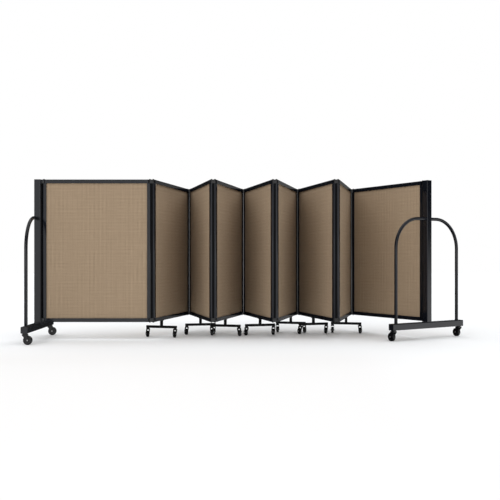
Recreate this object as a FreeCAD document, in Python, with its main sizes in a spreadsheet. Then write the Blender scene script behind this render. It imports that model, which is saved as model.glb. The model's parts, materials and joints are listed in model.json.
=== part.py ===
"""Folding fabric room divider on casters: nine fabric panels between two end frames.

Neighbouring panels hang on two-pin hinge blocks, so each pair can fold flat or stand straight.
The first and last panels turn on the posts of the end frames, and each inner panel has a T-leg.
Origin: middle of the floor area that the divider covers as it stands, +Z up, millimetres.
"""

import FreeCAD, Part
import math
import os
import re

Vector = FreeCAD.Vector
Rotation = FreeCAD.Rotation
Placement = FreeCAD.Placement
UP = Vector(0, 0, 1)

PANEL_COUNT = 9
# Least half-width of the flat that is left between two rounded edges
LEAST_FLAT = 0.1
# Place along its panel that each T-leg takes, so that no two legs meet in the folded stack
LEG_PLACE = {2: 0, 3: 4, 4: 2, 5: 3, 6: 7, 7: 5, 8: 6}
# Angle by which the casters of a T-leg have swivelled from straight back, where not to either side
LEG_TURN = {2: 36}

DIMENSIONS = {
    # Panels
    "panel_width": 825,
    "panel_height": 1085,
    "panel_bottom": 134,
    "panel_thickness": 25,
    "stile_width": 29,
    "rail_width": 29,
    "rail_edge_radius": 3,
    "groove_depth": 8,
    "board_thickness": 10,
    "board_clearance": 0.3,
    # Hinges
    "pin_inset": 9,
    "fold_gap": 2,
    "pin_diameter": 8,
    "pin_depth": 40,
    "pin_clearance": 0.08,
    "pin_head_diameter": 13,
    "pin_head_height": 4,
    "block_width": 18,
    "block_height": 29,
    "hinge_clearance": 1,
    "seal_depth": 9.5,
    "seal_clearance": 0.4,
    "post_seal_width": 40,
    # End frames
    "post_width": 50,
    "post_wall": 2,
    "post_gap": 10,
    "cap_height": 8,
    "foot_length": 760,
    "foot_width": 49,
    "foot_height": 48,
    "foot_bottom": 82,
    "foot_wall": 2,
    "tube_corner": 5,
    "plug_depth": 30,
    "plug_flange": 4,
    "hoop_diameter": 25,
    "hoop_inset": 50,
    "hoop_top": 935,
    "hoop_bend": 230,
    "hoop_clearance": 0.2,
    "end_caster_inset": 26,
    # T-legs
    "leg_bar_length": 250,
    "leg_tube": 19,
    "leg_wall": 1.5,
    "leg_bar_bottom": 73,
    "leg_plate_length": 64,
    "leg_plate_thickness": 3,
    "leg_insert_length": 40,
    "leg_caster_inset": 12,
    "first_leg_place": 174,
    "leg_place_step": 56.5,
    # Casters
    "end_wheel_diameter": 65,
    "end_wheel_width": 24,
    "end_trail": 20,
    "end_cup_diameter": 36,
    "leg_wheel_diameter": 50,
    "leg_wheel_width": 19,
    "leg_trail": 16,
    "leg_cup_diameter": 24,
    "wheel_bevel": 4,
    "wheel_dish_depth": 3,
    "hub_diameter": 20,
    "rim_thickness": 9,
    "fork_wall": 2.5,
    "fork_clearance": 1,
    "end_wheel_clearance": 3,
    "leg_wheel_clearance": 9,
    "axle_diameter": 8,
    "axle_boss_diameter": 17,
    "caster_stem_diameter": 10,
    "caster_stem_length": 13,
    "cup_height": 5,
    "swivel_clearance": 0.3,
    # Stance
    "fold_angle": 14.9,
    "last_fold_angle": 32.74,
    "leg_caster_turn": 7,
}

doc = FreeCAD.newDocument("room_divider")
dims = doc.addObject("Spreadsheet::Sheet", "dims")
for row, (alias, number) in enumerate(DIMENSIONS.items(), start=1):
    dims.set("A%d" % row, str(number))
    dims.setAlias("A%d" % row, alias)
doc.recompute()


def size(alias):
    """The number in one cell of the sheet."""
    return float(dims.get(alias))


def bind(feature, prop, formula):
    """Bind a property to a formula of sheet aliases, such as 'foot_width / 2'."""
    feature.setExpression(prop, re.sub(r"[a-z_]+", lambda word: "dims." + word.group(0), formula))


def place(feature, x="0", y="0", z="0"):
    """Bind the place of a feature to three formulas."""
    for axis, formula in zip("xyz", (x, y, z)):
        bind(feature, "Placement.Base." + axis, formula)
    return feature


def box(name, length, width, height, x="0", y="0", z="0"):
    """A box centred on x and y that stands on z."""
    feature = doc.addObject("Part::Box", name)
    for prop, formula in (("Length", length), ("Width", width), ("Height", height)):
        bind(feature, prop, formula)
    return place(feature, "%s - (%s) / 2" % (x, length), "%s - (%s) / 2" % (y, width), z)


def rod(name, diameter, length, x="0", y="0", z="0", along=UP):
    """A round rod that starts at a point and runs along a direction."""
    feature = doc.addObject("Part::Cylinder", name)
    bind(feature, "Radius", "(%s) / 2" % diameter)
    bind(feature, "Height", length)
    feature.Placement = Placement(Vector(), Rotation(UP, along))
    return place(feature, x, y, z)


def cut(name, base, *tools):
    """The base with every tool taken away."""
    feature = doc.addObject("Part::Cut", name)
    feature.Base = base
    feature.Tool = tools[0] if len(tools) == 1 else join(name + "_tools", *tools)
    return feature


def join(name, *pieces):
    """Several pieces fused into one solid."""
    feature = doc.addObject("Part::MultiFuse", name)
    feature.Shapes = list(pieces)
    feature.Refine = True
    return feature


def round_edges(name, base, radius, chosen, kind="Part::Fillet"):
    """A fillet or chamfer on the edges that a test picks by their middle point and direction."""
    doc.recompute()
    edges = []
    for number, edge in enumerate(base.Shape.Edges, start=1):
        middle = edge.valueAt((edge.FirstParameter + edge.LastParameter) / 2)
        if chosen(middle, edge):
            edges.append((number, radius, radius))
    feature = doc.addObject(kind, name)
    feature.Base = base
    feature.Edges = edges
    return feature


def runs_along(edge, axis):
    """True where a straight edge runs along x, y or z."""
    ends = [vertex.Point for vertex in edge.Vertexes]
    return len(ends) == 2 and abs(abs((ends[1] - ends[0]).normalize().dot(axis)) - 1) < 1e-6


def group(name, *pieces):
    """Separate solids that belong to one piece of the divider."""
    feature = doc.addObject("Part::Compound", name)
    feature.Links = list(pieces)
    return feature


def outline_plate(name, points, arcs, thickness):
    """A plate centred on y = 0 from an outline in x and z: straight runs, with arcs through a point.

    arcs gives, for the run that starts at a point's number, the point that the arc passes through."""
    edges = []
    for number, start in enumerate(points):
        end = points[(number + 1) % len(points)]
        if number in arcs:
            edges.append(Part.Arc(Vector(*start), Vector(*arcs[number]), Vector(*end)))
        else:
            edges.append(Part.LineSegment(Vector(*start), Vector(*end)))
    sketch = doc.addObject("Sketcher::SketchObject", name + "_outline")
    sketch.Placement = Placement(Vector(), Rotation(Vector(1, 0, 0), 90))
    sketch.addGeometry(edges)
    feature = doc.addObject("Part::Extrusion", name)
    feature.Base = sketch
    feature.Dir = Vector(0, 1, 0)
    feature.Solid = True
    feature.Symmetric = True
    bind(feature, "LengthFwd", thickness)
    return feature


# Panel frame: two full-height stiles and two rails, grooved for the board

NOTCH_DEPTH = "pin_inset + block_width / 2 + hinge_clearance"
NOTCH_HEIGHT = "block_height + hinge_clearance"
PANEL_TOP = "panel_bottom + panel_height"
PIN_PITCH = "panel_thickness + fold_gap"
GROOVE_WIDTH = "board_thickness + 2 * board_clearance"


def stile(name):
    """A stile from its outer edge at x = 0 inwards: rounded nose, pin sockets and hinge notches."""
    bar = box(
        name + "_bar",
        "stile_width",
        "panel_thickness",
        "panel_height",
        "stile_width / 2",
        z="panel_bottom",
    )
    nosed = round_edges(
        name + "_nose",
        bar,
        min(size("pin_inset"), size("panel_thickness") / 2 - LEAST_FLAT),
        lambda middle, edge: runs_along(edge, UP) and middle.x < 0.01,
    )
    groove = box(
        name + "_groove",
        "groove_depth",
        GROOVE_WIDTH,
        "panel_height",
        "stile_width - groove_depth / 2",
        z="panel_bottom",
    )
    notches = [
        box(
            name + "_notch_" + end,
            NOTCH_DEPTH,
            "panel_thickness + 2",
            NOTCH_HEIGHT,
            "(%s) / 2" % NOTCH_DEPTH,
            z=z,
        )
        for end, z in (("low", "panel_bottom"), ("high", "%s - (%s)" % (PANEL_TOP, NOTCH_HEIGHT)))
    ]
    socket_bore = "pin_diameter + 2 * pin_clearance"
    sockets = [
        rod(name + "_socket_" + end, socket_bore, "pin_depth", "pin_inset", z=z)
        for end, z in (
            ("low", "panel_bottom + " + NOTCH_HEIGHT),
            ("high", "%s - (%s) - pin_depth" % (PANEL_TOP, NOTCH_HEIGHT)),
        )
    ]
    return cut(name, nosed, groove, *notches, *sockets)


def rail(name, high):
    """A rail between the stiles: its outer edges are eased and its inner edge is grooved."""
    length = "panel_width - 2 * stile_width"
    bottom = PANEL_TOP + " - rail_width" if high else "panel_bottom"
    bar = box(name + "_bar", length, "panel_thickness", "rail_width", "panel_width / 2", z=bottom)
    outer = size("panel_bottom") + (size("panel_height") if high else 0)
    eased = round_edges(
        name + "_eased",
        bar,
        size("rail_edge_radius"),
        lambda middle, edge: runs_along(edge, Vector(1, 0, 0)) and abs(middle.z - outer) < 0.01,
    )
    groove_bottom = PANEL_TOP + " - rail_width" if high else "panel_bottom + rail_width - groove_depth"
    groove = box(
        name + "_groove",
        length,
        GROOVE_WIDTH,
        "groove_depth",
        "panel_width / 2",
        z=groove_bottom,
    )
    return cut(name, eased, groove)


left_stile = stile("left_stile")
right_stile = group("right_stile", stile("turned_stile"))
right_stile.Placement = Placement(Vector(), Rotation(UP, 180))
place(right_stile, "panel_width")
low_rail = rail("low_rail", False)
high_rail = rail("high_rail", True)
panel_frame = group("panel_frame", left_stile, right_stile, low_rail, high_rail)

# Board: the fabric-covered panel that sits in the grooves
board_inset = "groove_depth - board_clearance"
fabric_board = box(
    "fabric_board",
    "panel_width - 2 * stile_width + 2 * (%s)" % board_inset,
    "board_thickness",
    "panel_height - 2 * rail_width + 2 * (%s)" % board_inset,
    "panel_width / 2",
    z="panel_bottom + rail_width - (%s)" % board_inset,
)

# Hinges: a stadium-shaped block with its pins in the notches at each end, and a seal strip between


def hinge_pin(name, x, high):
    """One pin: a head that shows, a shank through the block, and the end in the stile."""
    shank = "block_height + pin_depth"
    if high:
        rod_bottom = "%s - (%s)" % (PANEL_TOP, shank)
        head_bottom = PANEL_TOP
    else:
        rod_bottom = "panel_bottom"
        head_bottom = "panel_bottom - pin_head_height"
    return [
        rod(name + "_shank", "pin_diameter", shank, x, z=rod_bottom),
        rod(name + "_head", "pin_head_diameter", "pin_head_height", x, z=head_bottom),
    ]


def hinge_block(name, high, reach, far_pin):
    """A block from the pin at x = 0 along x: round over each pin, or square where it meets a post."""
    bottom = PANEL_TOP + " - block_height" if high else "panel_bottom"
    pieces = [
        box(name + "_web", reach, "block_width", "block_height", "(%s) / 2" % reach, z=bottom),
        rod(name + "_near_end", "block_width", "block_height", z=bottom),
        *hinge_pin(name + "_near_pin", "0", high),
    ]
    if far_pin:
        pieces.append(rod(name + "_far_end", "block_width", "block_height", reach, z=bottom))
        pieces += hinge_pin(name + "_far_pin", reach, high)
    return join(name, *pieces)


SEAL_HEIGHT = "panel_height - 2 * block_height"
SEAL_BOTTOM = "panel_bottom + block_height"
STILE_SWEEP = "panel_thickness / 2 + seal_clearance"


def hinge_seal(name):
    """The wedge that closes the outer side of a fold: its hollow flanks follow the rounded stiles."""
    blank = box(
        name + "_blank",
        PIN_PITCH,
        "seal_depth",
        SEAL_HEIGHT,
        "(%s) / 2" % PIN_PITCH,
        "0 - seal_depth / 2",
        SEAL_BOTTOM,
    )
    hollows = [
        rod(name + "_%s_hollow" % end, "2 * (%s)" % STILE_SWEEP, PANEL_TOP, x)
        for end, x in (("near", "0"), ("far", PIN_PITCH))
    ]
    return cut(name, blank, *hollows)


panel_hinge = group(
    "panel_hinge",
    hinge_block("low_block", False, PIN_PITCH, True),
    hinge_block("high_block", True, PIN_PITCH, True),
    hinge_seal("hinge_seal"),
)

# End frame: post with its hinge brackets, foot with its plugs, and the hoop over the foot

POST_FACE = "pin_inset + post_gap"
POST_MIDDLE = POST_FACE + " + post_width / 2"
FOOT_TOP = "foot_bottom + foot_height"
END_CASTER_REACH = "foot_length / 2 - end_caster_inset"
HOOP_REACH = "foot_length / 2 - hoop_inset"


def square_tube(name, width, depth, height, wall, x, z):
    """An upright square tube with rounded corners."""
    outer = box(name + "_outer", width, depth, height, x, z=z)
    rounded = round_edges(
        name + "_rounded",
        outer,
        size("tube_corner"),
        lambda middle, edge: runs_along(edge, UP),
    )
    inner_width = "%s - 2 * %s" % (width, wall)
    inner_depth = "%s - 2 * %s" % (depth, wall)
    return rounded, box(name + "_inner", inner_width, inner_depth, height, x, z=z)


post_height = "%s - cap_height - (%s)" % (PANEL_TOP, FOOT_TOP)
post_outer, post_inner = square_tube(
    "post", "post_width", "post_width", post_height, "post_wall", POST_MIDDLE, FOOT_TOP
)
hoop_hole = rod(
    "hoop_hole",
    "hoop_diameter + 2 * hoop_clearance",
    "2 * post_width",
    POST_MIDDLE,
    "0 - post_width",
    "hoop_top - hoop_diameter / 2",
    Vector(0, 1, 0),
)
post_tube = cut("post_tube", post_outer, post_inner, hoop_hole)
cap_bottom = PANEL_TOP + " - cap_height"
cap_plate = box("cap_plate", "post_width", "post_width", "cap_height", POST_MIDDLE, z=cap_bottom)
cap_rounded = round_edges(
    "cap_rounded",
    cap_plate,
    size("tube_corner"),
    lambda middle, edge: runs_along(edge, UP),
)
cap_spigot = box(
    "cap_spigot",
    "post_width - 2 * post_wall - 2 * board_clearance",
    "post_width - 2 * post_wall - 2 * board_clearance",
    "plug_depth",
    POST_MIDDLE,
    z=cap_bottom + " - plug_depth",
)
post_cap = join("post_cap", cap_rounded, cap_spigot)
post_seal_thickness = "%s - (%s)" % (POST_FACE, STILE_SWEEP)
post_seal = box(
    "post_seal",
    post_seal_thickness,
    "post_seal_width",
    SEAL_HEIGHT,
    "%s - (%s) / 2" % (POST_FACE, post_seal_thickness),
    z=SEAL_BOTTOM,
)
end_post = group(
    "end_post",
    post_tube,
    post_cap,
    hinge_block("low_bracket", False, POST_FACE, False),
    hinge_block("high_bracket", True, POST_FACE, False),
    post_seal,
)


def foot_tube(name):
    """The foot: a square tube that lies along y, with holes below for the caster stems."""
    outer = box(
        name + "_outer",
        "foot_width",
        "foot_length - 2 * plug_flange",
        "foot_height",
        POST_MIDDLE,
        z="foot_bottom",
    )
    rounded = round_edges(
        name + "_rounded",
        outer,
        size("tube_corner"),
        lambda middle, edge: runs_along(edge, Vector(0, 1, 0)),
    )
    inner = box(
        name + "_inner",
        "foot_width - 2 * foot_wall",
        "foot_length",
        "foot_height - 2 * foot_wall",
        POST_MIDDLE,
        z="foot_bottom + foot_wall",
    )
    return cut(name, rounded, inner)


def foot_plug(name, side):
    """A moulded plug in one end of the foot: flange, spigot, and the socket for the caster stem."""
    flange = box(
        name + "_flange",
        "foot_width",
        "plug_flange",
        "foot_height",
        POST_MIDDLE,
        "0 %s (foot_length - plug_flange) / 2" % side,
        "foot_bottom",
    )
    rounded = round_edges(
        name + "_rounded",
        flange,
        size("tube_corner"),
        lambda middle, edge: runs_along(edge, Vector(0, 1, 0)),
    )
    reach = "end_caster_inset + plug_depth"
    spigot = box(
        name + "_spigot",
        "foot_width - 2 * foot_wall - 2 * board_clearance",
        reach,
        "foot_height - 2 * foot_wall - 2 * board_clearance",
        POST_MIDDLE,
        "0 %s (foot_length / 2 - plug_flange - (%s) / 2)" % (side, reach),
        "foot_bottom + foot_wall + board_clearance",
    )
    return join(name, rounded, spigot)


def stem_bores(name, reach, bottom, x="0"):
    """Two upright bores for caster stems, at a reach each way along y."""
    return [
        rod(
            name + "_" + end,
            "caster_stem_diameter + 2 * pin_clearance",
            "caster_stem_length + 2 * swivel_clearance",
            x,
            "0 %s (%s)" % (side, reach),
            bottom + " - swivel_clearance",
        )
        for end, side in (("front", "-"), ("back", "+"))
    ]


front_bore, back_bore = stem_bores("foot_bore", END_CASTER_REACH, "foot_bottom", POST_MIDDLE)
foot = cut("foot", foot_tube("foot_bar"), front_bore, back_bore)
front_plug = cut("front_plug", foot_plug("front_plug_blank", "-"), front_bore)
back_plug = cut("back_plug", foot_plug("back_plug_blank", "+"), back_bore)


def hoop_bend(name, side):
    """A quarter bend of the hoop tube, from its leg to its top."""
    bend = doc.addObject("Part::Torus", name)
    bind(bend, "Radius1", "hoop_bend")
    bind(bend, "Radius2", "hoop_diameter / 2")
    bend.Angle3 = 90
    first = Vector(0, 1, 0) if side == "+" else Vector(0, 0, 1)
    second = Vector(0, 0, 1) if side == "+" else Vector(0, -1, 0)
    bend.Placement = Placement(Vector(), Rotation(first, second, first.cross(second)))
    height = "hoop_top - hoop_diameter / 2 - hoop_bend"
    return place(bend, POST_MIDDLE, "0 %s (%s - hoop_bend)" % (side, HOOP_REACH), height)


leg_height = "hoop_top - hoop_diameter / 2 - hoop_bend - (%s)" % FOOT_TOP
hoop = join(
    "hoop",
    rod("hoop_front_leg", "hoop_diameter", leg_height, POST_MIDDLE, "0 - (%s)" % HOOP_REACH, FOOT_TOP),
    rod("hoop_back_leg", "hoop_diameter", leg_height, POST_MIDDLE, HOOP_REACH, FOOT_TOP),
    hoop_bend("hoop_front_bend", "-"),
    hoop_bend("hoop_back_bend", "+"),
    rod(
        "hoop_top_run",
        "hoop_diameter",
        "2 * (%s - hoop_bend)" % HOOP_REACH,
        POST_MIDDLE,
        "0 - (%s - hoop_bend)" % HOOP_REACH,
        "hoop_top - hoop_diameter / 2",
        Vector(0, 1, 0),
    ),
)
end_base = group("end_base", foot, front_plug, back_plug, hoop)

# T-leg: plate under the rail, stem, and cross bar with an insert in each end for a caster

leg_bar_top = "leg_bar_bottom + leg_tube"
LEG_CASTER_REACH = "leg_bar_length / 2 - leg_caster_inset"
leg_bores = stem_bores("leg_bore", LEG_CASTER_REACH, "leg_bar_bottom")
leg_bar_outer = box("leg_bar_outer", "leg_tube", "leg_bar_length", "leg_tube", z="leg_bar_bottom")
leg_bar_inner = box(
    "leg_bar_inner",
    "leg_tube - 2 * leg_wall",
    "leg_bar_length + 2",
    "leg_tube - 2 * leg_wall",
    z="leg_bar_bottom + leg_wall",
)
leg_stem_height = "panel_bottom - leg_plate_thickness - (%s)" % leg_bar_top
leg_stem = box("leg_stem", "leg_tube", "leg_tube", leg_stem_height, z=leg_bar_top)
leg_plate = box(
    "leg_plate",
    "leg_plate_length",
    "leg_tube",
    "leg_plate_thickness",
    z="panel_bottom - leg_plate_thickness",
)
leg_bar = cut("leg_bar", leg_bar_outer, leg_bar_inner, *leg_bores)
leg_weldment = join("leg_weldment", leg_bar, leg_stem, leg_plate)


def leg_insert(name, side, bore):
    """The moulded insert that fills one end of the bar and takes a caster stem."""
    width = "leg_tube - 2 * leg_wall - 2 * board_clearance"
    middle = "0 %s (leg_bar_length - leg_insert_length) / 2" % side
    bottom = "leg_bar_bottom + leg_wall + board_clearance"
    block = box(name + "_block", width, "leg_insert_length", width, "0", middle, bottom)
    return cut(name, block, bore)


t_leg = group(
    "t_leg",
    leg_weldment,
    leg_insert("front_insert", "-", leg_bores[0]),
    leg_insert("back_insert", "+", leg_bores[1]),
)

# Casters: the stem is at x = 0 and the wheel trails along +x


def wheel(name, kind):
    """A moulded wheel: bevelled tread, dished sides with a hub, and a bore for the axle."""
    diameter, width, trail = (kind + word for word in ("_wheel_diameter", "_wheel_width", "_trail"))
    across = Vector(0, 1, 0)
    start = "0 - %s / 2" % width
    tyre = rod(name + "_tyre", diameter, width, trail, start, diameter + " / 2", across)
    bevelled = round_edges(
        name + "_bevelled",
        tyre,
        size("wheel_bevel"),
        lambda middle, edge: edge.Closed,
        "Part::Chamfer",
    )
    cuts = [
        rod(
            name + "_bore",
            "axle_diameter + 2 * pin_clearance",
            width,
            trail,
            start,
            diameter + " / 2",
            across,
        )
    ]
    for side, y in (("front", start), ("back", "%s / 2 - wheel_dish_depth" % width)):
        dish = rod(
            name + "_dish_" + side,
            diameter + " - 2 * rim_thickness",
            "wheel_dish_depth",
            trail,
            y,
            diameter + " / 2",
            across,
        )
        hub = rod(
            name + "_hub_" + side,
            "hub_diameter",
            "wheel_dish_depth",
            trail,
            y,
            diameter + " / 2",
            across,
        )
        cuts.append(cut(name + "_ring_" + side, dish, hub))
    return cut(name, bevelled, *cuts)


def fork(name, kind, mount_bottom):
    """A caster fork: stem and bearing cup above, cheeks swept back to the axle that crosses them."""
    diameter, width, clearance, trail, cup = (
        kind + word
        for word in ("_wheel_diameter", "_wheel_width", "_wheel_clearance", "_trail", "_cup_diameter")
    )
    axle_height = size(diameter) / 2
    boss = size("axle_boss_diameter") / 2
    shoulder = size(cup) / 2
    crown_top = size(mount_bottom) - size("swivel_clearance") - size("cup_height")
    crown_bottom = size(diameter) + size(clearance)
    back = size(trail)
    outline = [
        (-shoulder, crown_top),
        (shoulder, crown_top),
        (back + boss, axle_height),
        (back - boss, axle_height),
        (-shoulder, crown_bottom),
    ]
    outer_width = "%s + 2 * fork_clearance + 2 * fork_wall" % width
    cheeks = outline_plate(name + "_cheeks", outline, {2: (back, axle_height - boss)}, outer_width)
    slot = box(
        name + "_slot",
        "2 * " + diameter,
        "%s + 2 * fork_clearance" % width,
        "%s + %s" % (diameter, clearance),
        trail,
    )
    crown = rod(
        name + "_cup",
        cup,
        "cup_height",
        z="%s - swivel_clearance - cup_height" % mount_bottom,
    )
    stem = rod(
        name + "_stem",
        "caster_stem_diameter",
        "caster_stem_length + swivel_clearance",
        z=mount_bottom + " - swivel_clearance",
    )
    axle = rod(
        name + "_axle",
        "axle_diameter",
        "%s + 2 * fork_wall" % outer_width,
        trail,
        "0 - (%s) / 2 - fork_wall" % outer_width,
        diameter + " / 2",
        Vector(0, 1, 0),
    )
    return join(name, cut(name + "_yoke", cheeks, slot), crown, stem, axle)


end_fork = fork("end_fork", "end", "foot_bottom")
end_wheel = wheel("end_wheel", "end")
leg_caster = group("leg_caster", fork("leg_fork", "leg", "leg_bar_bottom"), wheel("leg_wheel", "leg"))

# Stance: each panel starts at a pin, and the hinge blocks between panels lie along x

pin_span = size("panel_width") - 2 * size("pin_inset")
end_caster_reach = size("foot_length") / 2 - size("end_caster_inset")
leg_caster_reach = size("leg_bar_length") / 2 - size("leg_caster_inset")


def heading(angle):
    """Unit direction at an angle from +x, in the floor plane."""
    return Vector(math.cos(math.radians(angle)), math.sin(math.radians(angle)), 0)


def panel_heading(number):
    """Angle of a panel from +x: the first lies along x, the others zigzag about y."""
    if number == 1:
        return 0
    if number == PANEL_COUNT:
        return size("last_fold_angle") - 90
    return 90 - size("fold_angle") if number % 2 == 0 else size("fold_angle") - 90


starts = {}
ends = {}
pin = Vector()
for number in range(1, PANEL_COUNT + 1):
    starts[number] = pin
    ends[number] = pin + heading(panel_heading(number)) * pin_span
    pin = ends[number] + Vector(size("panel_thickness") + size("fold_gap"), 0, 0)

nodes = []


def node(label, shape_of, spot, angle):
    """One piece of the divider: a master shape at its place and heading."""
    feature = group(label, shape_of)
    feature.Label = label
    feature.Placement = Placement(spot, Rotation(UP, angle))
    nodes.append(feature)


def turned(offset, angle):
    """An offset turned about the upright axis."""
    return Rotation(UP, angle).multVec(offset)


for number in range(1, PANEL_COUNT + 1):
    angle = panel_heading(number)
    corner = starts[number] - heading(angle) * size("pin_inset")
    node("panel_%d_frame" % number, panel_frame, corner, angle)
    node("panel_%d_fabric_board" % number, fabric_board, corner, angle)
    if number < PANEL_COUNT:
        # The seal faces the viewer where the fold does
        folds_back = number % 2 == 1
        hinge_spot = ends[number] if folds_back else starts[number + 1]
        node("hinge_%d_%d" % (number, number + 1), panel_hinge, hinge_spot, 0 if folds_back else 180)
    if number in LEG_PLACE:
        along = size("first_leg_place") + LEG_PLACE[number] * size("leg_place_step")
        near_first = number % 2 == 0
        if near_first:
            spot = starts[number] + heading(angle) * along
        else:
            spot = ends[number] - heading(angle) * along
        node("leg_%d" % number, t_leg, spot, angle)
        to_far = angle if near_first else angle + 180
        for side, sign in (("left", 1), ("right", -1)):
            reach = turned(Vector(0, sign * leg_caster_reach, 0), to_far)
            trailing = to_far + LEG_TURN.get(number, sign * size("leg_caster_turn"))
            node("leg_%d_caster_%s" % (number, side), leg_caster, spot + reach, trailing)

post_middle = size("pin_inset") + size("post_gap") + size("post_width") / 2
for side, spot, panel_angle, angle in (
    ("left", starts[1], panel_heading(1), panel_heading(1) + 180),
    ("right", ends[PANEL_COUNT], panel_heading(PANEL_COUNT), panel_heading(PANEL_COUNT)),
):
    node(side + "_end_post", end_post, spot, angle)
    node(side + "_foot_and_hoop", end_base, spot, angle)
    for end, sign in (("front", -1), ("back", 1)):
        reach = turned(Vector(0, sign * end_caster_reach, 0), panel_angle)
        caster_spot = spot + turned(Vector(post_middle, 0, 0), angle) + reach
        node("%s_%s_caster_fork" % (side, end), end_fork, caster_spot, angle + 180)
        node("%s_%s_caster_wheel" % (side, end), end_wheel, caster_spot, angle + 180)

doc.recompute()

# The origin goes to the middle of the floor area
covered = FreeCAD.BoundBox()
for feature in nodes:
    covered.add(feature.Shape.optimalBoundingBox(False, False))
to_origin = Vector(-covered.Center.x, -covered.Center.y, 0)
for feature in nodes:
    feature.Placement = Placement(feature.Placement.Base + to_origin, feature.Placement.Rotation)
doc.recompute()

failed = [
    feature.Name
    for feature in doc.Objects
    if "Invalid" in feature.State or "Error" in feature.State
]
for feature in nodes:
    if feature.Shape.isNull() or not feature.Shape.isValid():
        failed.append(feature.Label)
if failed:
    raise RuntimeError("not sound: " + ", ".join(failed))

os.makedirs("parts", exist_ok=True)
for feature in nodes:
    feature.Shape.exportStep("parts/%s.step" % feature.Label)
extent = (covered.XLength, covered.YLength, covered.ZLength)
print("%d pieces, box %.1f x %.1f x %.1f mm" % (len(nodes), *extent))
print("first pin at %.3f, %.3f" % (to_origin.x, to_origin.y))
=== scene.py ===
# %% [markdown]
# # A folding fabric room divider
#
# The divider is nine fabric panels in slim black frames. Two-pin hinges join them, so the wall can
# stand in a zigzag, open out straight or fold into a flat stack. Small T-legs on casters carry the
# inner panels, and an end frame with a hoop over a foot steadies each end.
#
# The construction comes in as a fixed frame: every tube, pin and wheel is already at its real size
# and place, in metres. This script gives it its looks, and never moves what came in.

# %% Load the frame
import json
import math
from dataclasses import dataclass

import bmesh
import bpy
import numpy as np
from mathutils import Matrix, Vector


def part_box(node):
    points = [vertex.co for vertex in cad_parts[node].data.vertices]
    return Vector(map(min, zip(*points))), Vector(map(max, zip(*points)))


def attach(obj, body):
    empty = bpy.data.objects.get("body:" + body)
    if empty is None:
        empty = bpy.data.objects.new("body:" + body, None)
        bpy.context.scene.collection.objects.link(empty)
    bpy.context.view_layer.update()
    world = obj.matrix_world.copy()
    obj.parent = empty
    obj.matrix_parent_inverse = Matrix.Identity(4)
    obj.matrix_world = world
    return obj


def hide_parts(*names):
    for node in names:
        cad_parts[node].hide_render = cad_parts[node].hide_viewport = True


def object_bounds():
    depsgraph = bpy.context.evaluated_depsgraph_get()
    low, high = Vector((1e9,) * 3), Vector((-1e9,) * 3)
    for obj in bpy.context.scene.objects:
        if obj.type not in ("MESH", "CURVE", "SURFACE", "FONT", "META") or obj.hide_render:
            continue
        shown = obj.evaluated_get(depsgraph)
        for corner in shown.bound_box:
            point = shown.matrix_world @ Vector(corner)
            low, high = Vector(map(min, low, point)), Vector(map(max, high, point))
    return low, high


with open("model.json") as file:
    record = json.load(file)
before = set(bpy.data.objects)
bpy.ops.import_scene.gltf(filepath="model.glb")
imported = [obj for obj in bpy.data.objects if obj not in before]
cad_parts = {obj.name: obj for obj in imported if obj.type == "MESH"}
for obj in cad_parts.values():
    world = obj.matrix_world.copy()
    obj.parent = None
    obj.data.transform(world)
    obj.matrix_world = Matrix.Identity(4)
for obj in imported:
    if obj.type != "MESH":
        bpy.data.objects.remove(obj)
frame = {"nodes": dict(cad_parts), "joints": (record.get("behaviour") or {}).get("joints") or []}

MM = 0.001
UP = Vector((0, 0, 1))
PANEL_COUNT = 9
LEG_PANELS = range(2, 9)
nodes = frame["nodes"]
joints = {joint["name"]: joint for joint in frame["joints"]}
pins = {name: Vector(joint["pos_m"]) for name, joint in joints.items()}
solid_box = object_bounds()

# %% [markdown]
# ## Where each panel stands
#
# A fabric board is a flat box, turned about the upright axis. Its own corners say all that is
# needed: the middle is their mean, and the direction in which they spread most in plan is the
# panel's width. Working this out from the solids, rather than typing angles again, keeps the looks
# on the frame.


# %% Measure the boards
@dataclass
class Board:
    """The place of one fabric board: x runs along the panel, y across it, z is up."""

    middle: Vector
    along: Vector
    width: float
    thickness: float
    height: float

    def matrix(self, turned=False):
        """From the board's own axes to the room; turned looks at the board from behind."""
        along = -self.along if turned else self.along
        axes = Matrix((along, UP.cross(along), UP)).transposed()
        return Matrix.Translation(self.middle) @ axes.to_4x4()


def measure_board(number):
    """Read a board's place from the corners of its solid."""
    solid = nodes[f"panel_{number}_fabric_board"]
    points = np.array([vertex.co for vertex in solid.data.vertices])
    low, high = points.min(0), points.max(0)
    corners = np.unique(points[points[:, 2] < low[2] + MM, :2].round(5), axis=0)
    middle = corners.mean(0)
    spread = np.linalg.eigh(np.cov((corners - middle).T))
    along = spread.eigenvectors[:, 1]
    if along[0] < 0:
        along = -along
    across = np.array((-along[1], along[0]))
    width = np.ptp(corners @ along)
    thickness = np.ptp(corners @ across)
    centre = Vector((*middle, (low[2] + high[2]) / 2))
    return Board(centre, Vector((*along, 0)), width, thickness, high[2] - low[2])


boards = {number: measure_board(number) for number in range(1, PANEL_COUNT + 1)}
first = boards[1]
outward = {"left": -boards[1].along, "right": boards[PANEL_COUNT].along}
print(f"boards of {first.width:.3f} x {first.height:.3f} m, {first.thickness / MM:.0f} mm thick")

# %% [markdown]
# ## A small kit for materials
#
# Every finish here is a node tree on one Principled shader, and a few helpers keep the trees
# readable. The first ones start a material, add a node and set its sockets, and add a math node.
# Values that are the same all over a surface are set straight on the shader.


# %% Node helpers
def set_sockets(node, sockets):
    """Set a node's sockets by name; an underscore stands for a space."""
    for socket, value in sockets.items():
        node.inputs[socket.replace("_", " ")].default_value = value


def start_finish(name, **sockets):
    """A new material with its tree, its shader, and the shader's constant sockets set."""
    material = bpy.data.materials.new(name)
    material.use_nodes = True
    tree = material.node_tree
    shader = tree.nodes["Principled BSDF"]
    set_sockets(shader, sockets)
    return material, tree, shader


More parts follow.
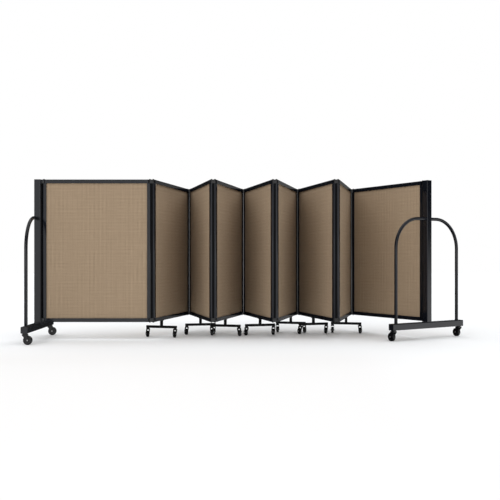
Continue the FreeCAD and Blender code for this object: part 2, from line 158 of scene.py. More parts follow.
def add_node(tree, kind, settings=None, **sockets):
    """A node of that kind, with its own settings and some socket values."""
    node = tree.nodes.new(kind)
    for key, value in (settings or {}).items():
        setattr(node, key, value)
    set_sockets(node, sockets)
    return node


def add_math(tree, operation, *inputs):
    """The output of a math node whose inputs are sockets or plain numbers."""
    node = add_node(tree, "ShaderNodeMath", {"operation": operation})
    for socket, value in zip(node.inputs, inputs):
        if isinstance(value, bpy.types.NodeSocket):
            tree.links.new(value, socket)
        else:
            socket.default_value = value
    return node.outputs[0]


print("node helpers are ready")

# %% [markdown]
# Patterns come next. A pattern is a number at each point of a piece: a noise, a wave, or a smooth
# step. They are laid out in the piece's own axes, in metres, so a pattern keeps its real size and
# moves with its piece.


# %% Pattern helpers
def place_in_piece(tree, stretch=(1, 1, 1)):
    """The point in the piece's own axes, in metres, scaled along each axis."""
    coordinates = add_node(tree, "ShaderNodeTexCoord")
    mapping = add_node(tree, "ShaderNodeMapping", Scale=stretch)
    tree.links.new(coordinates.outputs["Object"], mapping.inputs["Vector"])
    return mapping.outputs["Vector"]


def split_axes(tree, vector):
    """The x, y and z of a vector."""
    node = add_node(tree, "ShaderNodeSeparateXYZ")
    tree.links.new(vector, node.inputs[0])
    return node.outputs


def noise(tree, vector, grain, detail=2.0, roughness=0.5):
    """A noise value with that grain, in cycles to the metre."""
    node = add_node(tree, "ShaderNodeTexNoise", Scale=grain, Detail=detail, Roughness=roughness)
    tree.links.new(vector, node.inputs["Vector"])
    return node.outputs["Fac"]


def wave(tree, coordinate, pitch):
    """A sine wave along a coordinate, from -1 to 1, that repeats at a pitch."""
    return add_math(tree, "SINE", add_math(tree, "MULTIPLY", coordinate, 2 * math.pi / pitch))


def ease(tree, value, start, end):
    """A smooth step of a value from 0 at start to 1 at end."""
    smooth = {"interpolation_type": "SMOOTHSTEP"}
    node = add_node(tree, "ShaderNodeMapRange", smooth, From_Min=start, From_Max=end)
    tree.links.new(value, node.inputs["Value"])
    return node.outputs["Result"]


def blend(tree, patterns, shares):
    """The sum of named patterns, each times its share."""
    total = 0.0
    for name, share in shares.items():
        total = add_math(tree, "MULTIPLY_ADD", patterns[name], share, total)
    return total


print("pattern helpers are ready")

# %% [markdown]
# The last helpers bring a pattern to the shader: as a colour between two tones, as a change of
# roughness, or as a bump.


# %% Surface helpers
def colour_base(tree, shader, pattern, span, tones):
    """Colour the shader from one tone to another as a pattern crosses a span."""
    ramp = add_node(tree, "ShaderNodeValToRGB")
    for element, position, tone in zip(ramp.color_ramp.elements, span, tones):
        element.position = position
        element.color = (*tone, 1)
    tree.links.new(pattern, ramp.inputs["Fac"])
    tree.links.new(ramp.outputs["Color"], shader.inputs["Base Color"])


def vary_roughness(tree, shader, pattern, least, spread):
    """Raise the shader's roughness from its least value by a pattern's share of a spread."""
    roughness = add_math(tree, "MULTIPLY_ADD", pattern, spread, least)
    tree.links.new(roughness, shader.inputs["Roughness"])


def add_bump(tree, shader, pattern, height, strength):
    """Give the shader a bump that is some height where the pattern is 1."""
    node = add_node(tree, "ShaderNodeBump", Strength=strength, Distance=height)
    tree.links.new(pattern, node.inputs["Height"])
    tree.links.new(node.outputs["Normal"], shader.inputs["Normal"])


print("surface helpers are ready")

# %% [markdown]
# ## Tan woven fabric
#
# The panels wear a tan cloth of slightly uneven yarn in a plain weave: warp yarns run up, weft
# yarns run across, and each passes over and under the other in turn. Two sine waves make the
# yarns, and the product of the two says which yarn is on top at each crossing. Fine ribs repeat
# every few yarns. Wider bars of heavier yarn make the faint grid that shows from a step away. They
# drift along the cloth and fade in patches, because a perfectly even grid looks printed. Long,
# thin noise along each direction is the slub: fine for single yarns, and broad for bands of them.

# %% Sizes and shares of the weave
YARN_PITCH = 2.6 * MM
FINE_RIB = 13.0 * MM
YARN_TONES = ((0.281, 0.206, 0.136), (0.395, 0.295, 0.200))
SHADE_SPAN = (0.3, 0.9)
BUMP_HEIGHT = 0.35 * MM
# Pitch and depth of shade of the bars
WARP_BARS = ((33.1 * MM, 0.100), (30.1 * MM, 0.064))
WEFT_BARS = ((25.9 * MM, 0.080), (38.1 * MM, 0.040))
BAR_DRIFT = 24.0 * MM
# Grain of each noise, in cycles to the metre
DRIFT_GRAIN = 12
PATCH_GRAIN = 14
SLUB_GRAIN = 420
BAND_GRAIN = 60
PATCH_SPAN = (0.35, 0.70)
# How each noise is stretched along x, y and z of a sheet
ALONG_WARP, ALONG_WEFT = (1, 0.1, 0.03), (0.03, 0.1, 1)
WARP_DRIFT, WEFT_DRIFT = (1, 0, 0.05), (0.05, 0, 1)
WARP_PATCH, WEFT_PATCH = (1, 1, 0.5), (0.5, 1, 1)
SHADE_SHARES = {
    "warp_slub": 0.41,
    "weft_slub": 0.41,
    "warp_band": 0.22,
    "weft_band": 0.16,
    "crossing": 0.2,
    "warp_rib": 0.06,
    "weft_rib": 0.04,
    "warp_bars": 1.0,
    "weft_bars": 1.0,
}
HEIGHT_SHARES = {
    "bulge": 1.0,
    "warp_rib": 0.2,
    "weft_rib": 0.15,
    "warp_bars": 4.0,
    "warp_slub": 0.5,
}
print(len(SHADE_SHARES), "patterns in the shade,", len(HEIGHT_SHARES), "in the height")


# %% Fabric
def uneven(tree, coordinate, stretch):
    """A coordinate that drifts along its own axis, as yarns never lie quite evenly."""
    drift = noise(tree, place_in_piece(tree, stretch), DRIFT_GRAIN)
    return add_math(tree, "MULTIPLY_ADD", drift, BAR_DRIFT, coordinate)


def patchy_bars(tree, coordinate, bars, stretch):
    """Bars of heavier yarn across a coordinate, which show in some places and fade in others."""
    total = 0.0
    for pitch, depth in bars:
        total = add_math(tree, "MULTIPLY_ADD", wave(tree, coordinate, pitch), depth, total)
    patches = ease(tree, noise(tree, place_in_piece(tree, stretch), PATCH_GRAIN), *PATCH_SPAN)
    return add_math(tree, "MULTIPLY", total, patches)


def woven_fabric():
    """Tan plain weave with ribs, bars and slubs both ways."""
    material, tree, shader = start_finish(
        "tan_woven_fabric",
        Roughness=0.92,
        Specular_IOR_Level=0.06,
        Sheen_Weight=0.03,
        Sheen_Roughness=0.6,
    )
    across, _, up = split_axes(tree, place_in_piece(tree))
    warp_yarn, weft_yarn = wave(tree, across, 2 * YARN_PITCH), wave(tree, up, 2 * YARN_PITCH)
    crossing = add_math(tree, "MULTIPLY", warp_yarn, weft_yarn)
    along_warp, along_weft = place_in_piece(tree, ALONG_WARP), place_in_piece(tree, ALONG_WEFT)
    across_drift, up_drift = uneven(tree, across, WARP_DRIFT), uneven(tree, up, WEFT_DRIFT)
    patterns = {
        "warp_slub": noise(tree, along_warp, SLUB_GRAIN),
        "weft_slub": noise(tree, along_weft, SLUB_GRAIN),
        "warp_band": noise(tree, along_warp, BAND_GRAIN),
        "weft_band": noise(tree, along_weft, BAND_GRAIN),
        "crossing": crossing,
        "bulge": add_math(tree, "ABSOLUTE", crossing),
        "warp_rib": wave(tree, across, FINE_RIB),
        "weft_rib": wave(tree, up, FINE_RIB),
        "warp_bars": patchy_bars(tree, across_drift, WARP_BARS, WARP_PATCH),
        "weft_bars": patchy_bars(tree, up_drift, WEFT_BARS, WEFT_PATCH),
    }
    colour_base(tree, shader, blend(tree, patterns, SHADE_SHARES), SHADE_SPAN, YARN_TONES)
    add_bump(tree, shader, blend(tree, patterns, HEIGHT_SHARES), BUMP_HEIGHT, strength=0.6)
    return material


fabric = woven_fabric()
print(fabric.name, "with yarns", YARN_PITCH / MM, "mm apart and ribs", FINE_RIB / MM, "mm apart")

# %% [markdown]
# ## Black finishes
#
# The tubes and frame bars wear a glossy coat. It is almost black, so what is seen is mostly its
# gloss: the photograph even shows the near half of the hoop mirrored in the stile beside it. Broad
# noise moves the roughness a little, as handling does, and a very low bump gives the orange peel
# of a sprayed coat. The moulded hinges and casters are plainer and duller. The seals come in two
# finishes: dull rubber, and a polished one that mirrors more light than the coat.

# %% Coats, mouldings and metal
COAT_TONES = ((0.0042, 0.0052, 0.0080), (0.0058, 0.0069, 0.0104))
SEAL_TONES = ((0.003, 0.003, 0.0032), (0.006, 0.006, 0.0064))
STEEL_TONES = ((0.52, 0.52, 0.53), (0.68, 0.68, 0.69))
HINGE_TONE = (0.007, 0.007, 0.008)
CASTER_TONE = (0.005, 0.005, 0.006)
PAINT_TONE = (0.004, 0.004, 0.0045)
DARKER = 0.75
WEAR = 0.15


def powder_coat(name, **sockets):
    """Glossy black coat with a faint orange peel."""
    material, tree, shader = start_finish(name, **sockets)
    point = place_in_piece(tree)
    cloudy = noise(tree, point, grain=7, detail=4.0, roughness=0.6)
    colour_base(tree, shader, cloudy, span=(0.3, 0.7), tones=COAT_TONES)
    vary_roughness(tree, shader, cloudy, least=0.06, spread=0.10)
    add_bump(tree, shader, noise(tree, point, grain=220), height=0.01 * MM, strength=0.15)
    return material


def seal_rubber():
    """Soft black rubber that swallows the light, with a faint bloom."""
    material, tree, shader = start_finish(
        "black_seal_rubber",
        Roughness=0.85,
        Specular_IOR_Level=0.12,
    )
    point = place_in_piece(tree)
    bloom = noise(tree, point, grain=45, detail=4.0, roughness=0.6)
    colour_base(tree, shader, bloom, span=(0.35, 0.7), tones=SEAL_TONES)
    add_bump(tree, shader, noise(tree, point, grain=900), height=0.04 * MM, strength=0.4)
    return material


def moulded_plastic(name, tone, roughness, grain, gloss=0.45):
    """Black moulding or paint with a fine grain."""
    material, tree, shader = start_finish(name, Specular_IOR_Level=gloss)
    point = place_in_piece(tree)
    cloudy = noise(tree, point, grain=30, detail=3.0)
    darker = tuple(DARKER * part for part in tone)
    colour_base(tree, shader, cloudy, span=(0.35, 0.65), tones=(darker, tone))
    vary_roughness(tree, shader, cloudy, least=roughness - WEAR / 2, spread=WEAR)
    add_bump(tree, shader, noise(tree, point, grain), height=0.06 * MM, strength=0.5)
    return material


def bright_steel():
    """Zinc-plated steel, with the fine lines that turning leaves."""
    material, tree, shader = start_finish("zinc_plated_steel", Metallic=1.0)
    streaks = noise(tree, place_in_piece(tree), grain=500, detail=3.0)
    colour_base(tree, shader, streaks, span=(0.3, 0.7), tones=STEEL_TONES)
    vary_roughness(tree, shader, streaks, least=0.2, spread=0.2)
    add_bump(tree, shader, streaks, height=0.03 * MM, strength=0.4)
    return material


coat = powder_coat("black_powder_coat", Specular_IOR_Level=0.5)
polished = powder_coat(
    "polished_black_seal",
    Specular_IOR_Level=1.0,
    Coat_Weight=1.0,
    Coat_Roughness=0.08,
)
rubber = seal_rubber()
flat_black = moulded_plastic("flat_black_paint", PAINT_TONE, roughness=0.55, grain=900, gloss=0.15)
hinge_plastic = moulded_plastic("black_hinge_plastic", HINGE_TONE, roughness=0.34, grain=1200)
fork_plastic = moulded_plastic("black_caster_plastic", CASTER_TONE, roughness=0.25, grain=1000)
wheel_rubber = moulded_plastic("dark_wheel_rubber", CASTER_TONE, roughness=0.3, grain=700)
steel = bright_steel()
blacks = (coat, polished, rubber, flat_black, hinge_plastic, fork_plastic, wheel_rubber)
print("finishes:", ", ".join(material.name for material in (*blacks, steel)))

# %% [markdown]
# ## Dress the solids
#
# The solids already have the right shape, so they stay and only take a finish. Machine-sharp edges
# look wrong in any light: a real extrusion or moulding has a small radius that catches a
# highlight. Two modifiers give that without touching the mesh: Weld joins the corners that faces
# share, and Bevel rounds every edge sharper than a limit.

# %% Finish and soften the solids
EDGE_ANGLE = math.radians(35)
SAME_CORNER = 0.001 * MM
# A word in the solid's name, its finish, and the radius of its edges; the first match counts
FINISHES = (
    ("_caster_wheel", wheel_rubber, 0.6 * MM),
    ("caster", fork_plastic, 0.4 * MM),
    ("hinge_", hinge_plastic, 0.7 * MM),
    ("leg_", flat_black, 0.6 * MM),
    ("", coat, 0.8 * MM),
)


def dress(name, solid):
    """Give one solid its finish and its softened edges."""
    material, radius = next(finish for word, *finish in FINISHES if word in name)
    solid.data.materials.clear()
    solid.data.materials.append(material)
    corners = solid.modifiers.new("share_corners", "WELD")
    corners.merge_threshold = SAME_CORNER
    bevel = solid.modifiers.new("soften_edges", "BEVEL")
    bevel.width = radius
    bevel.segments = 2
    bevel.limit_method = "ANGLE"
    bevel.angle_limit = EDGE_ANGLE
    bevel.use_clamp_overlap = True


for name, solid in nodes.items():
    if not name.endswith("_fabric_board"):
        dress(name, solid)
print(sum(len(solid.modifiers) > 0 for solid in nodes.values()), "solids dressed")

# %% [markdown]
# ## Rubber seals
#
# A black seal closes the gap between two panels, and between a panel and its post. The seals are
# part of the hinge and post solids, so they get a second material slot, and the faces that lie on
# a seal are pointed at it. A face is on a seal if it is away from the blocks at the ends and, on a
# post, nearer to the pin than the post's own side.

# %% Point the seal faces at their finish
SEAL_LOW = 0.25
SEAL_HIGH = 1.10
POST_SIDE = 18.9 * MM


def add_seal(solid, material, on_seal):
    """A second slot for a seal's finish, for the faces that a test picks by their middle."""
    solid.data.materials.append(material)
    count = 0
    for face in solid.data.polygons:
        if SEAL_LOW < face.center.z < SEAL_HIGH and on_seal(face.center):
            face.material_index = 1
            count += 1
    return count


sealed = 0
for number in range(1, PANEL_COUNT):
    # The seals of the far folds have a shiny face towards the room
    seal_finish = rubber if number % 2 else polished
    sealed += add_seal(nodes[f"hinge_{number}_{number + 1}"], seal_finish, lambda middle: True)
for side, outwards in outward.items():
    pin = pins[f"{side}_end_hinge"]
    sealed += add_seal(
        nodes[f"{side}_end_post"],
        rubber,
        lambda middle: (middle - pin).dot(outwards) < POST_SIDE,
    )
print(sealed, "faces are seals")

# %% [markdown]
# ## Stretched fabric
#
# On the real panel the cloth is pulled over a thin board and its edges are tucked into the groove
# of the frame. Each side is one sheet. It is flat across the middle and rolls down over the last
# few millimetres, where the tuck pulls it back, and a tight cloth still shows very shallow pulls
# along its edges. A grid that is fine at the border and coarse in the middle gives both with few
# faces.
#
# Meshes are built with bmesh: points and faces are added one by one, and the result is copied into
# a mesh that a piece can show.

# %% Cloth mesh
CLOTH = 0.8 * MM
ROLL = 3.0 * MM
PULL = 0.35 * MM
PULL_SPACING = 0.06
PULL_REACH = 0.05
# Grid lines near the border, in rolls from the edge, and the count between the last of them
BORDER_LINES = (0, 0.35, 0.7, 1, 3, 8)
INNER_LINES = 14


def finish_mesh(shape, name, material):
    """Turn a built shape into a smooth mesh with one finish."""
    mesh = bpy.data.meshes.new(name)
    shape.to_mesh(mesh)
    shape.free()
    mesh.shade_smooth()
    mesh.materials.append(material)
    return mesh


def border_steps(length):
    """Places along one side of a sheet: close together at its ends, even between."""
    edge = [line * ROLL for line in BORDER_LINES]
    inner = np.linspace(edge[-1], length - edge[-1], INNER_LINES)[1:-1]
    return np.array([*edge, *inner, *(length - step for step in reversed(edge))]) - length / 2


def sheet_depth(x, z, width, height):
    """How far the cloth lies below its flat middle at a point."""
    side_inset, end_inset = width / 2 - abs(x), height / 2 - abs(z)
    inset = min(side_inset, end_inset)
    rolled = 0.0
    if inset < ROLL:
        rolled = ROLL - math.sqrt(max(ROLL**2 - (ROLL - inset) ** 2, 0.0))
    run = z if side_inset < end_inset else x
    ripple = 0.5 + 0.5 * math.cos(2 * math.pi * run / PULL_SPACING)
    return rolled + PULL * math.exp(-inset / PULL_REACH) * ripple


def cloth_mesh(board):
    """One sheet in the board's own axes, with its face at y = -thickness / 2."""
    shape = bmesh.new()
    grid = []
    for z in border_steps(board.height):
        line = []
        for x in border_steps(board.width):
            y = -board.thickness / 2 + sheet_depth(x, z, board.width, board.height)
            line.append(shape.verts.new((x, y, z)))
        grid.append(line)
    for low, high in zip(grid, grid[1:]):
        for corners in zip(low, low[1:], high[1:], high):
            shape.faces.new(corners)
    return finish_mesh(shape, "cloth_sheet", fabric)


sheet_mesh = cloth_mesh(first)
print("a sheet has", len(sheet_mesh.vertices), "points")

# %% [markdown]
# Every sheet shows the same mesh, placed on its own board. A sheet rides on its panel and stands
# in for the plain board that came in.


# %% Hang the sheets
def add_piece(name, data):
    """A new object in the scene that shows a mesh or other data."""
    piece = bpy.data.objects.new(name, data)
    bpy.context.scene.collection.objects.link(piece)
    return piece


def hang_sheet(number, side, turned):
    """Stretch one sheet over one side of a board."""
    board = boards[number]
    sheet = add_piece(f"panel_{number}_{side}_fabric", sheet_mesh)
    sheet.matrix_world = board.matrix(turned)
    thickness = sheet.modifiers.new("cloth_thickness", "SOLIDIFY")
    thickness.thickness = CLOTH
    thickness.offset = -1
    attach(sheet, f"panel_{number}")
    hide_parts(f"panel_{number}_fabric_board")


for number in boards:
    hang_sheet(number, "front", False)
    hang_sheet(number, "back", True)
print(2 * len(boards), "sheets on", len(boards), "boards")

# %% [markdown]
# ## Small fittings
#
# Some pieces are too small for the solids but show up close: a zinc cap on each end of every axle,
# two button-head screws in each leg plate, and the weld beads that hold the hoops, posts and legs.
# Caps and screws are turned, like work on a lathe: a profile of rings about one axis. A ring may
# also be a hexagon, which makes the socket in a screw head.

# %% Turned fittings
ROUND_STEPS = 24
# Radius and height of each ring in mm, and the number of sides if it is not round
CAP_RINGS = ((5.5, 0.2), (5.5, 2.0), (4.9, 2.9), (3.4, 3.4), (1.5, 3.6), (1.0, 3.3))
SCREW_RINGS = ((5.0, 0.0), (5.0, 0.7), (4.3, 1.8), (3.1, 2.4), (2.3, 2.5, 6), (2.2, 1.0, 6))


def bridge(shape, low, high):
    """Join two loops of points with a band of faces."""
    for step in range(len(low)):
        following = (step + 1) % len(low)
        shape.faces.new((low[step], low[following], high[following], high[step]))


def close_ends(shape, loops):
    """Close the first and last of a row of loops with one face each."""
    shape.faces.new(reversed(loops[0]))
    shape.faces.new(loops[-1])


def turned_mesh(name, rings, material):
    """A closed mesh turned about z from rings."""
    shape = bmesh.new()
    loops = []
    for radius, height, *sides in rings:
        wedge = 2 * math.pi / (sides[0] if sides else ROUND_STEPS)
        loop = []
        for step in range(ROUND_STEPS):
            angle = 2 * math.pi * step / ROUND_STEPS
            reach = radius * math.cos(wedge / 2) / math.cos(angle % wedge - wedge / 2)
            point = Vector((reach * math.cos(angle), reach * math.sin(angle), height))
            loop.append(shape.verts.new(point * MM))
        loops.append(loop)
    for low, high in zip(loops, loops[1:]):
        bridge(shape, low, high)
    close_ends(shape, loops)
    mesh = finish_mesh(shape, name, material)
    mesh.set_sharp_from_angle(angle=EDGE_ANGLE)
    return mesh


def fit(name, mesh, body, point, up):
    """Put a fitting at a point, with its own z turned to a direction, to ride on a body."""
    piece = add_piece(name, mesh)
    turn = up.to_track_quat("Z", "Y").to_matrix().to_4x4()
    piece.matrix_world = Matrix.Translation(point) @ turn
    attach(piece, body)


cap_mesh = turned_mesh("axle_cap", CAP_RINGS, steel)
screw_mesh = turned_mesh("button_screw", SCREW_RINGS, steel)
print(len(cap_mesh.polygons), "faces in a cap,", len(screw_mesh.polygons), "in a screw")

# %% [markdown]
# An end caster's axle is the axis of its rolling joint. A leg caster has no such joint, so its
# axle is found from its swivel pin: the wheel trails behind the pin, on the side where the low
# points of the solid are.

# %% Axle caps
END_CHEEK = 15.5 * MM
LEG_CHEEK = 13.0 * MM
LEG_TRAIL = 16.0 * MM
LEG_AXLE = 25.0 * MM


def trailing_way(name, pin):
    """Level direction from a caster's swivel to its wheel, from where its low points are."""
    low = [vertex.co for vertex in nodes[name].data.vertices if vertex.co.z < LEG_AXLE]
    middle = sum(low, Vector()) / len(low)
    return Vector((middle.x - pin.x, middle.y - pin.y, 0)).normalized()


def cap_axle(body, middle, axis, cheek):
    """A cap over each end of an axle."""
    for end, way in (("near", -axis), ("far", axis)):
        fit(f"{body}_{end}_axle_cap", cap_mesh, body, middle + cheek * way, way)


for name, joint in joints.items():
    if name.endswith("_caster_roll"):
        fork = name.replace("_roll", "_fork")
        cap_axle(fork, pins[name], Vector(joint["axis"]), END_CHEEK)
for number in LEG_PANELS:
    for side in ("left", "right"):
        caster = f"leg_{number}_caster_{side}"
        pin = pins[f"leg_{number}_swivel_{side}"]
        trail = trailing_way(caster, pin)
        axle = Vector((pin.x, pin.y, LEG_AXLE)) + LEG_TRAIL * trail
        cap_axle(caster, axle, trail.cross(UP), LEG_CHEEK)

# %% [markdown]
# Two screws hold each leg's plate to the rail above it. A leg stands halfway between the swivel
# pins of its two casters, and its plate runs along the panel.

# %% Leg screws
PLATE_BELOW = 131.0 * MM
SCREW_REACH = 23.0 * MM
legs = {}
for number in LEG_PANELS:
    left, right = (pins[f"leg_{number}_swivel_{side}"] for side in ("left", "right"))
    middle, along = (left + right) / 2, boards[number].along
    legs[number] = (middle, along)
    for end, way in (("near", -1), ("far", 1)):
        spot = Vector((middle.x, middle.y, PLATE_BELOW)) + way * SCREW_REACH * along
        name = f"leg_{number}_{end}_screw"
        fit(name, screw_mesh, f"panel_{number}", spot, -UP)
print(2 * len(legs), "screws")

# %% [markdown]
# A weld bead is a row of small overlapping ripples. Here a round section is swept along a path,
# and its radius swells and shrinks as it goes. A bead on a tube is a closed ring; one along a
# straight corner is open, and tapers to almost nothing at both ends.

# %% Weld beads
BEAD_RADIUS = 2.2 * MM
RIPPLE = 2.4 * MM
RIPPLE_DEPTH = 0.14
BEAD_SIDES = 8
BEAD_STEP = 0.6 * MM
TAPER_POWER = 0.3
TAPER_LEAST = 0.02
UPRIGHT = 0.9


def bead_path(corners, closed):
    """Evenly spaced points along straight runs between corners."""
    ends = corners[1:] + corners[:1] if closed else corners[1:]
    points = []
    for start, end in zip(corners, ends):
        count = max(2, round((end - start).length / BEAD_STEP))
        points += [start.lerp(end, step / count) for step in range(count)]
    return points if closed else [*points, corners[-1]]


def ring_path(middle, radius, first_way, second_way):
    """A closed ring of points about a middle, in the plane of two directions."""
    count = round(2 * math.pi * radius / BEAD_STEP)
    turns = [2 * math.pi * step / count for step in range(count)]
    return [
        middle + radius * (math.cos(turn) * first_way + math.sin(turn) * second_way)
        for turn in turns
    ]


def add_bead(shape, points, closed):
    """Sweep a rippled round section along points, into a mesh that may hold other beads."""
    loops = []
    last = len(points) - 1
    travelled = 0.0
    for number, point in enumerate(points):
        before = points[number - 1] if number or closed else point
        after = points[(number + 1) % len(points)] if closed or number < last else point
        travelled += (point - before).length if number else 0.0
        along = (after - before).normalized()
        side = along.orthogonal() if abs(along.z) > UPRIGHT else along.cross(UP)
        side.normalize()
        lift = side.cross(along)
        radius = BEAD_RADIUS * (1 + RIPPLE_DEPTH * math.sin(2 * math.pi * travelled / RIPPLE))
        if not closed:
            radius *= max(math.sin(math.pi * number / last), 0.0) ** TAPER_POWER + TAPER_LEAST
        loop = []
        for step in range(BEAD_SIDES):
            angle = 2 * math.pi * step / BEAD_SIDES
            spoke = math.cos(angle) * side + math.sin(angle) * lift
            loop.append(shape.verts.new(point + radius * spoke))
        loops.append(loop)
    for low, high in zip(loops, loops[1:]):
        bridge(shape, low, high)
    if closed:
        bridge(shape, loops[-1], loops[0])
    else:
        close_ends(shape, loops)


def weld(name, body, paths):
    """One piece of weld beads from (points, closed) paths."""
    shape = bmesh.new()
    for points, closed in paths:
        add_bead(shape, points, closed)
    bmesh.ops.recalc_face_normals(shape, faces=shape.faces)
    piece = add_piece(name, finish_mesh(shape, name, coat))
    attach(piece, body)


print("beads of", BEAD_RADIUS / MM, "mm radius, with a ripple every", RIPPLE / MM, "mm")

# %% [markdown]
# Each leg has four straight beads: two along the bar under its stem, and two across the plate
# above it.

# %% Weld the legs
LEG_TUBE = 19.0 * MM
BAR_TOP = 92.0 * MM
for number, (middle, along) in legs.items():
    across = UP.cross(along)
    paths = []
    for run, reach, height in ((along, across, BAR_TOP), (across, along, PLATE_BELOW)):
        for way in (-1, 1):
            corner = Vector((middle.x, middle.y, height)) + way * LEG_TUBE / 2 * reach
            ends = [corner - LEG_TUBE / 2 * run, corner + LEG_TUBE / 2 * run]
            paths.append((bead_path(ends, False), False))
    weld(f"leg_{number}_weld", f"panel_{number}", paths)
print(len(legs), "legs welded")

# %% [markdown]
# Each end frame has a bead round the foot of its post, which is a square with cut corners, a ring
# round each foot of the hoop, and a ring on each side of the post, where the hoop passes through.

# %% Weld the end frames
POST_MIDDLE = 44.0 * MM
POST_HALF = 25.0 * MM
POST_FLAT = 20.0 * MM
POST_CORNERS = ((1, 1), (-1, 1), (-1, -1), (1, -1))
HOOP_REACH = 330.0 * MM
HOOP_RADIUS = 12.5 * MM
HOOP_MIDDLE = 922.5 * MM
FOOT_TOP = 130.0 * MM
for side, outwards in outward.items():
    pin = pins[f"{side}_end_hinge"]
    middle = Vector((pin.x, pin.y, FOOT_TOP)) + POST_MIDDLE * outwards
    across = UP.cross(outwards)
    corners = []
    for out_sign, across_sign in POST_CORNERS:
        out, over = out_sign * outwards, across_sign * across
        cut = [
            middle + POST_HALF * out + POST_FLAT * over,
            middle + POST_FLAT * out + POST_HALF * over,
        ]
        corners += cut if out_sign == across_sign else reversed(cut)
    paths = [(bead_path(corners, True), True)]
    for way in (-1, 1):
        foot = middle + way * HOOP_REACH * across
        paths.append((ring_path(foot, HOOP_RADIUS, outwards, across), True))
        face = middle + way * POST_HALF * across + (HOOP_MIDDLE - FOOT_TOP) * UP
        paths.append((ring_path(face, HOOP_RADIUS, outwards, UP), True))
    weld(f"{side}_end_weld", f"{side}_end", paths)
print(len(outward), "end frames welded")

# %% [markdown]
# ## Studio
#
# The divider stands on a pale floor in a white studio. The floor is a little greyer in front of
# the wall, where its soft shade reaches far out. It is hidden from gloss, because the black coat
# in the photograph mirrors the lights alone.
# The grey in front of the wall is painted shade: the floor's colour stands in for the far part of
# the wall's soft shadow.

# %% Floor
FLOOR_SIZE = 60.0
FLOOR_CELLS = 8
FLOOR_BELOW = 0.2 * MM
# The floor's own tone, then the tone of the painted shade in front of the wall
FLOOR_AND_PAINTED_SHADE_TONES = ((0.925, 0.940, 0.955), (0.862, 0.860, 0.860))
FLOOR_SPAN = (0.0, 0.95)
FLOOR_CLOUDS = -0.1
# Where the painted shade starts and is full, along y in front of the wall and along x from the
# right
PAINTED_SHADE_AHEAD = (-0.5, -1.5)
PAINTED_SHADE_RIGHT = (1.4, 0.4)


def floor_finish():
    """Pale, dull floor with the far part of the wall's shade painted into its colour."""
    material, tree, shader = start_finish("pale_floor", Roughness=0.7, Specular_IOR_Level=0.1)
    point = place_in_piece(tree)
    right, ahead, _ = split_axes(tree, point)
    # Painted shade: greyer in front of the wall and towards the left, with faint random clouds over
    # it
    in_front, leftwards = ease(tree, ahead, *PAINTED_SHADE_AHEAD), ease(tree, right, *PAINTED_SHADE_RIGHT)
    shade = add_math(tree, "MULTIPLY", in_front, leftwards)
    shade = add_math(tree, "MULTIPLY_ADD", noise(tree, point, grain=0.8), FLOOR_CLOUDS, shade)
    colour_base(tree, shader, shade, FLOOR_SPAN, FLOOR_AND_PAINTED_SHADE_TONES)
    return material


floor_shape = bmesh.new()
bmesh.ops.create_grid(
    floor_shape, x_segments=FLOOR_CELLS, y_segments=FLOOR_CELLS, size=FLOOR_SIZE / 2
)
floor = add_piece("studio_floor", finish_mesh(floor_shape, "studio_floor", floor_finish()))
floor.location.z = solid_box[0].z - FLOOR_BELOW
floor.visible_glossy = False
print("floor of", FLOOR_SIZE, "m at", round(floor.location.z / MM, 2), "mm")

# %% [markdown]
# The light comes from the sky alone, and the kind of ray that asks chooses one of three skies. A
# ray from a dull surface sees the soft sky: broad areas overhead, behind the camera and on the
# left, with the one behind stronger towards the left. Light from so wide an area leaves shadows
# only where pieces are close together, under the wall and in its folds. A ray from a glossy
# surface sees smaller areas, which make the highlights, and among them a narrow strip that the
# polished seals mirror. The camera sees a plain white backdrop, and the plain display transform
# keeps white white.
#
# An area is a strength and some edges: the axis of the direction, where the light starts, and
# where it is full.

# %% Light
SOFT_AROUND = 0.06
SOFT_BEHIND = 0.96
SOFT_LEFTWARD = 0.80
BEHIND_EDGE = ("ahead", -0.3, -0.65)
SOFT_AREAS = {
    "overhead": (1.38, ("up", 0.3, 0.65)),
    "left": (0.55, ("right", -0.3, -0.8)),
}
GLOSS_AROUND = 0.02
GLOSS_AREAS = {
    "behind": (0.92, ("ahead", -0.74, -0.92)),
    "overhead": (0.8, ("up", 0.5, 0.8)),
    "low_right": (1.3, ("right", 0.6, 0.9), ("up", 0.06, -0.06)),
    "back_right": (0.2, ("right", 0.2, 0.5), ("ahead", 0.5, 0.75)),
    "strip": (
        4.4,
        ("ahead", -0.93, -0.97),
        ("right", -0.09, -0.06),
        ("right", 0.08, 0.03),
        ("up", -0.09, -0.07),
        ("up", 0.13, 0.10),
    ),
}
WHITE = (1, 1, 1, 1)


def lit_area(tree, axes, strength, *edges):
    """The strength of one area of the sky: full inside its edges, and nothing outside them."""
    for axis, start, full in edges:
        strength = add_math(tree, "MULTIPLY", ease(tree, axes[axis], start, full), strength)
    return strength


def strongest_of(tree, around, areas):
    """A background whose strength is that of the brightest area, over an even glow."""
    total, *others = areas
    for area in others:
        total = add_math(tree, "MAXIMUM", total, area)
    background = add_node(tree, "ShaderNodeBackground", Color=WHITE)
    tree.links.new(add_math(tree, "ADD", total, around), background.inputs["Strength"])
    return background.outputs[0]


def choose(tree, question, no, yes):
    """One of two backgrounds, by the kind of ray that asks."""
    chooser = add_node(tree, "ShaderNodeMixShader")
    tree.links.new(add_node(tree, "ShaderNodeLightPath").outputs[question], chooser.inputs[0])
    tree.links.new(no, chooser.inputs[1])
    tree.links.new(yes, chooser.inputs[2])
    return chooser.outputs[0]


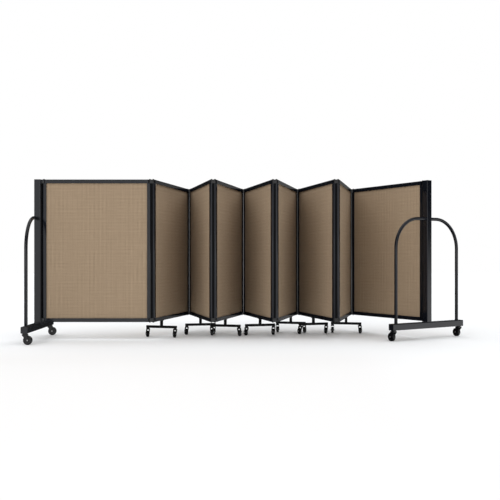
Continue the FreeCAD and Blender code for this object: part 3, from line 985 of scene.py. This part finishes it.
world = bpy.data.worlds.new("white_studio")
world.use_nodes = True
sky = world.node_tree
directions = split_axes(sky, add_node(sky, "ShaderNodeTexCoord").outputs["Generated"])
axes = dict(zip(("right", "ahead", "up"), directions))
behind = add_math(sky, "MULTIPLY_ADD", axes["right"], -SOFT_LEFTWARD, SOFT_BEHIND)
soft_areas = [lit_area(sky, axes, behind, BEHIND_EDGE)]
soft_areas += [lit_area(sky, axes, *area) for area in SOFT_AREAS.values()]
gloss_areas = [lit_area(sky, axes, *area) for area in GLOSS_AREAS.values()]
soft = strongest_of(sky, SOFT_AROUND, soft_areas)
gloss = strongest_of(sky, GLOSS_AROUND, gloss_areas)
backdrop = sky.nodes["Background"]
backdrop.inputs["Color"].default_value = WHITE
light = choose(sky, "Is Glossy Ray", soft, gloss)
seen = choose(sky, "Is Camera Ray", light, backdrop.outputs[0])
sky.links.new(seen, sky.nodes["World Output"].inputs["Surface"])
bpy.context.scene.world = world
bpy.context.scene.view_settings.view_transform = "Standard"
print(len(soft_areas), "soft areas and", len(gloss_areas), "areas for the gloss")

# %% [markdown]
# ## Camera
#
# The photograph was taken from a little over half a metre up, level, with its optical axis just
# left of and below the middle of the frame. A level camera keeps the posts upright, and the lens
# shift gives the framing without tilting it.

# %% Camera
FRAME_PIXELS = 500
FOCAL_PIXELS = 751.3
AXIS_PIXEL = (239.14, 260.26)
SENSOR = 36.0
CAMERA_RIGHT = 1.4963
CAMERA_BACK = 5.7255
CAMERA_HEIGHT = 0.6045

panel_low, panel_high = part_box("panel_1_frame")
camera_data = bpy.data.cameras.new("studio_camera")
camera_data.sensor_width = SENSOR
camera_data.lens = FOCAL_PIXELS / FRAME_PIXELS * SENSOR
camera_data.shift_x = (FRAME_PIXELS / 2 - AXIS_PIXEL[0]) / FRAME_PIXELS
camera_data.shift_y = (AXIS_PIXEL[1] - FRAME_PIXELS / 2) / FRAME_PIXELS
camera = add_piece("studio_camera", camera_data)
camera.location = (
    panel_low.x + CAMERA_RIGHT,
    (panel_low.y + panel_high.y) / 2 - CAMERA_BACK,
    CAMERA_HEIGHT,
)
camera.rotation_euler = (math.radians(90), 0, 0)
bpy.context.scene.camera = camera
print("camera at", [round(part, 3) for part in camera.location], "lens", round(camera_data.lens, 2))
